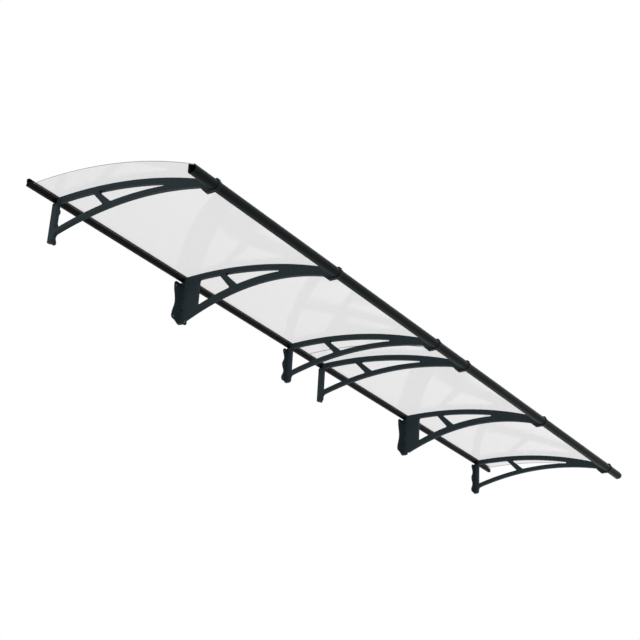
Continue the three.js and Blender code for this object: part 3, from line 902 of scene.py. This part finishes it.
def screw_mesh(sizes, clips, x):
    """Round-headed screw with a cross recess, driven upwards through the clip."""
    seat = curve_height(sizes, sizes.front_rear) - sizes.front_height - clips.thickness - 2 * sizes.fit
    head = clips.head_radius
    shank = clips.shank_radius
    dome = [
        (head * math.sin(a), -clips.head_height * math.cos(a)) for a in between(0, math.pi / 2, 12)
    ]
    profile = dome + [
        (shank, 0),
        (shank, clips.shank_length - 2 * shank),
        (shank * 0.3, clips.shank_length - shank / 2),
        (0, clips.shank_length - shank / 2),
    ]
    work = bmesh.new()
    points = [work.verts.new((radius, 0, height)) for radius, height in profile]
    edges = [work.edges.new(pair) for pair in zip(points, points[1:])]
    bmesh.ops.spin(
        work, geom=points + edges, cent=(0, 0, 0), axis=(0, 0, 1), angle=2 * math.pi, steps=SCREW_STEPS,
        use_merge=True, use_duplicate=False,
    )
    mesh = bpy.data.meshes.new("screw")
    work.to_mesh(mesh)
    work.free()
    clean_mesh(mesh)
    slot = clips.recess_width / 2
    span = clips.recess_span / 2
    floor = -clips.head_height - 0.001
    ceiling = -clips.head_height + clips.recess_depth
    cross = [
        (slot, slot), (slot, span), (-slot, span), (-slot, slot), (-span, slot), (-span, -slot),
        (-slot, -slot), (-slot, -span), (slot, -span), (slot, -slot), (span, -slot), (span, slot),
    ]
    # Half a step round, so that no corner of the cross meets an edge of the head
    turn = Matrix.Rotation(math.pi / SCREW_STEPS, 4, "Z")
    cutter = section_mesh("cross", [cross], ceiling - floor, turn, place=(0, 0, (floor + ceiling) / 2))
    mesh = cut_out(mesh, [cutter])
    mesh.transform(Matrix.Translation((x, -(sizes.front_rear - clips.screw_inset), seat)))
    return mesh


# Operators


class CANOPY_OT_sheets(bpy.types.Operator):
    """Build the two clear sheets"""

    bl_idname = "canopy.sheets"
    bl_label = "Clear Sheets"

    def execute(self, context):
        sizes = context.scene.canopy_sizes
        colours = context.scene.canopy_colours
        clear = clear_plastic(colours.sheet)
        cut = sheet_cut(colours.sheet_edge)
        for side in SIDES:
            node = f"sheet_{side}"
            mesh = section_mesh(node, [sheet_loop(sizes)], span_of(node), SIDE_VIEW, (middle_of(node), 0, 0))
            narrow = span_of(node) * CUT_WIDTH
            for face in mesh.polygons:
                face.material_index = 1 if abs(face.normal.x) > 0.7 or face.area < narrow else 0
            add_piece(f"clear_sheet_{side}", mesh, [clear, cut], [node])
        return {"FINISHED"}


class CANOPY_OT_wall_profiles(bpy.types.Operator):
    """Build the two wall profiles and finish their seals and key"""

    bl_idname = "canopy.wall_profiles"
    bl_label = "Wall Profiles"

    def execute(self, context):
        sizes = context.scene.canopy_sizes
        colours = context.scene.canopy_colours
        coating = coated_metal("Wall profile coating", colours.wall_profile, 0.42)
        rubber = soft_rubber(colours.rubber)
        for side in SIDES:
            node = f"wall_profile_{side}"
            mesh = section_mesh(node, [wall_loop(sizes)], span_of(node), SIDE_VIEW, (middle_of(node), 0, 0))
            add_piece(f"wall_channel_{side}", mesh, coating, [node], ease=0.0003)
            dress_solid(f"wall_seal_{side}", rubber)
        dress_solid("wall_key", bare_metal("Key metal", colours.joiner, 0.30))
        return {"FINISHED"}


class CANOPY_OT_front_profiles(bpy.types.Operator):
    """Build the two front profiles and finish the sleeve inside their joint"""

    bl_idname = "canopy.front_profiles"
    bl_label = "Front Profiles"

    def execute(self, context):
        sizes = context.scene.canopy_sizes
        colours = context.scene.canopy_colours
        coating = coated_metal("Front profile coating", colours.front_profile, 0.36)
        loops = [front_body(sizes, 0, True), front_body(sizes, sizes.front_skin, False)]
        for side in SIDES:
            node = f"front_profile_{side}"
            mesh = section_mesh(node, loops, span_of(node), SIDE_VIEW, (middle_of(node), 0, 0))
            add_piece(f"front_rail_{side}", mesh, coating, [node], ease=0.0003)
        dress_solid("front_sleeve", bare_metal("Sleeve metal", colours.joiner, 0.32))
        return {"FINISHED"}


class CANOPY_OT_arms(bpy.types.Operator):
    """Build the six support arms"""

    bl_idname = "canopy.arms"
    bl_label = "Support Arms"

    def execute(self, context):
        scene = context.scene
        plastic = moulded_plastic("Arm plastic", scene.canopy_colours.arm)
        for number in range(1, ARM_COUNT + 1):
            middle = number in MIDDLE_ARMS
            arm = scene.canopy_middle_arm if middle else scene.canopy_end_arm
            x = middle_of(f"front_clip_{number}")
            mesh = arm_mesh(
                scene.canopy_sizes, scene.canopy_arms, arm, scene.canopy_clips, x, FLANGE_SIDES[number], middle
            )
            add_piece(f"support_arm_{number}", mesh, plastic, [f"arm_{number}"])
        return {"FINISHED"}


class CANOPY_OT_clips(bpy.types.Operator):
    """Build the six front clips"""

    bl_idname = "canopy.clips"
    bl_label = "Front Clips"

    def execute(self, context):
        scene = context.scene
        sizes = scene.canopy_sizes
        clips = scene.canopy_clips
        plastic = moulded_plastic("Clip plastic", scene.canopy_colours.clip)
        for number in range(1, ARM_COUNT + 1):
            node = f"front_clip_{number}"
            x = middle_of(node)
            mesh = section_mesh(node, [clip_loop(sizes, clips)], clips.width, SIDE_VIEW, (x, 0, 0), clips.edge)
            mesh = cut_out(mesh, [screw_hole_cutter(sizes, clips, x)])
            add_piece(f"rail_clip_{number}", mesh, plastic, [node])
        return {"FINISHED"}


class CANOPY_OT_screws(bpy.types.Operator):
    """Build the six clip screws"""

    bl_idname = "canopy.screws"
    bl_label = "Clip Screws"

    def execute(self, context):
        scene = context.scene
        plating = bare_metal("Screw plating", scene.canopy_colours.screw, 0.28)
        for number in range(1, ARM_COUNT + 1):
            node = f"clip_screw_{number}"
            mesh = screw_mesh(scene.canopy_sizes, scene.canopy_clips, middle_of(node))
            add_piece(f"cross_screw_{number}", mesh, plating, [node])
        return {"FINISHED"}


class CANOPY_OT_stage(bpy.types.Operator):
    """Set the camera, the lamp and the white background"""

    bl_idname = "canopy.stage"
    bl_label = "Stage"

    def execute(self, context):
        scene = context.scene
        stage = scene.canopy_stage
        add_camera(scene, stage)
        add_key_lamp(scene, stage)
        add_background(scene, stage)
        scene.view_settings.view_transform = "Standard"
        return {"FINISHED"}


def camera_turn(stage):
    """Rotation of the camera from its azimuth, elevation and roll."""
    level = math.cos(stage.elevation)
    forward = Vector((
        math.sin(stage.azimuth) * level, math.cos(stage.azimuth) * level, math.sin(stage.elevation),
    ))
    right = forward.cross(Vector((0, 0, 1))).normalized()
    down = forward.cross(right)
    rolled_right = right * math.cos(stage.roll) + down * math.sin(stage.roll)
    rolled_down = down * math.cos(stage.roll) - right * math.sin(stage.roll)
    return Matrix((rolled_right, -rolled_down, -forward)).transposed()


def add_camera(scene, stage):
    """Places the camera at the view angle of the photograph."""
    data = bpy.data.cameras.new("Camera")
    data.sensor_width = 36
    data.lens = stage.lens
    data.clip_end = 100
    camera = bpy.data.objects.new("Camera", data)
    camera.matrix_world = Matrix.Translation(stage.place) @ camera_turn(stage).to_4x4()
    scene.collection.objects.link(camera)
    scene.camera = camera


def add_key_lamp(scene, stage):
    """Adds a broad lamp in front of the canopy."""
    data = bpy.data.lights.new("Key lamp", "SUN")
    data.energy = stage.key
    data.angle = math.radians(25)
    lamp = bpy.data.objects.new("Key lamp", data)
    lamp.rotation_euler = Vector(stage.key_direction).to_track_quat("-Z", "Y").to_euler()
    scene.collection.objects.link(lamp)


def add_background(scene, stage):
    """White to the camera and in reflections, and otherwise a pale light that fades downwards."""
    world = bpy.data.worlds.new("White surroundings")
    shading = Shading(world)

    def glow(strength):
        sockets = {"Color": (1, 1, 1, 1), "Strength": strength}
        return shading.node("ShaderNodeBackground", None, sockets).outputs[0]

    def blend(factor, first, second):
        return shading.node("ShaderNodeMixShader", None, {0: factor, 1: first, 2: second}).outputs[0]

    sky = shading.node("ShaderNodeTexCoord").outputs["Generated"]
    upward = Value(shading, shading.node("ShaderNodeSeparateXYZ", None, {0: sky}).outputs["Z"])
    rays = shading.node("ShaderNodeLightPath").outputs
    camera, glossy, through = (
        Value(shading, rays[name]) for name in ("Is Camera Ray", "Is Glossy Ray", "Is Transmission Ray")
    )
    lit = blend(0.5 + upward * 0.5, glow(stage.ambient_below), glow(stage.ambient))
    surface = blend(camera | glossy | through, lit, glow(1.0))
    shading.node("ShaderNodeOutputWorld", None, {"Surface": surface})
    scene.world = world


OPERATORS = (
    CANOPY_OT_sheets,
    CANOPY_OT_wall_profiles,
    CANOPY_OT_front_profiles,
    CANOPY_OT_arms,
    CANOPY_OT_clips,
    CANOPY_OT_screws,
    CANOPY_OT_stage,
)


class CANOPY_PT_build(bpy.types.Panel):
    """Lists the steps that build the canopy."""

    bl_idname = "CANOPY_PT_build"
    bl_label = "Door Canopy"
    bl_space_type = "VIEW_3D"
    bl_region_type = "UI"
    bl_category = "Canopy"

    def draw(self, context):
        for operator in OPERATORS:
            self.layout.operator(operator.bl_idname)


GROUPS = {
    "canopy_sizes": CanopySizes,
    "canopy_arms": ArmSizes,
    "canopy_end_arm": EndArmSizes,
    "canopy_middle_arm": MiddleArmSizes,
    "canopy_clips": ClipSizes,
    "canopy_colours": CanopyColours,
    "canopy_stage": StageSizes,
}


def register():
    """Makes the sizes, the operators and the panel known to Blender."""
    for attribute, group in GROUPS.items():
        bpy.utils.register_class(group)
        setattr(bpy.types.Scene, attribute, PointerProperty(type=group))
    for item in (*OPERATORS, CANOPY_PT_build):
        bpy.utils.register_class(item)


def unregister():
    """Takes back what register made known."""
    for item in (CANOPY_PT_build, *reversed(OPERATORS)):
        bpy.utils.unregister_class(item)
    for attribute, group in reversed(GROUPS.items()):
        delattr(bpy.types.Scene, attribute)
        bpy.utils.unregister_class(group)


def main():
    """Registers the add-on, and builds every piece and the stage."""
    register()
    bpy.ops.canopy.sheets()
    bpy.ops.canopy.wall_profiles()
    bpy.ops.canopy.front_profiles()
    bpy.ops.canopy.arms()
    bpy.ops.canopy.clips()
    bpy.ops.canopy.screws()
    bpy.ops.canopy.stage()


if __name__ == "__main__":
    main()
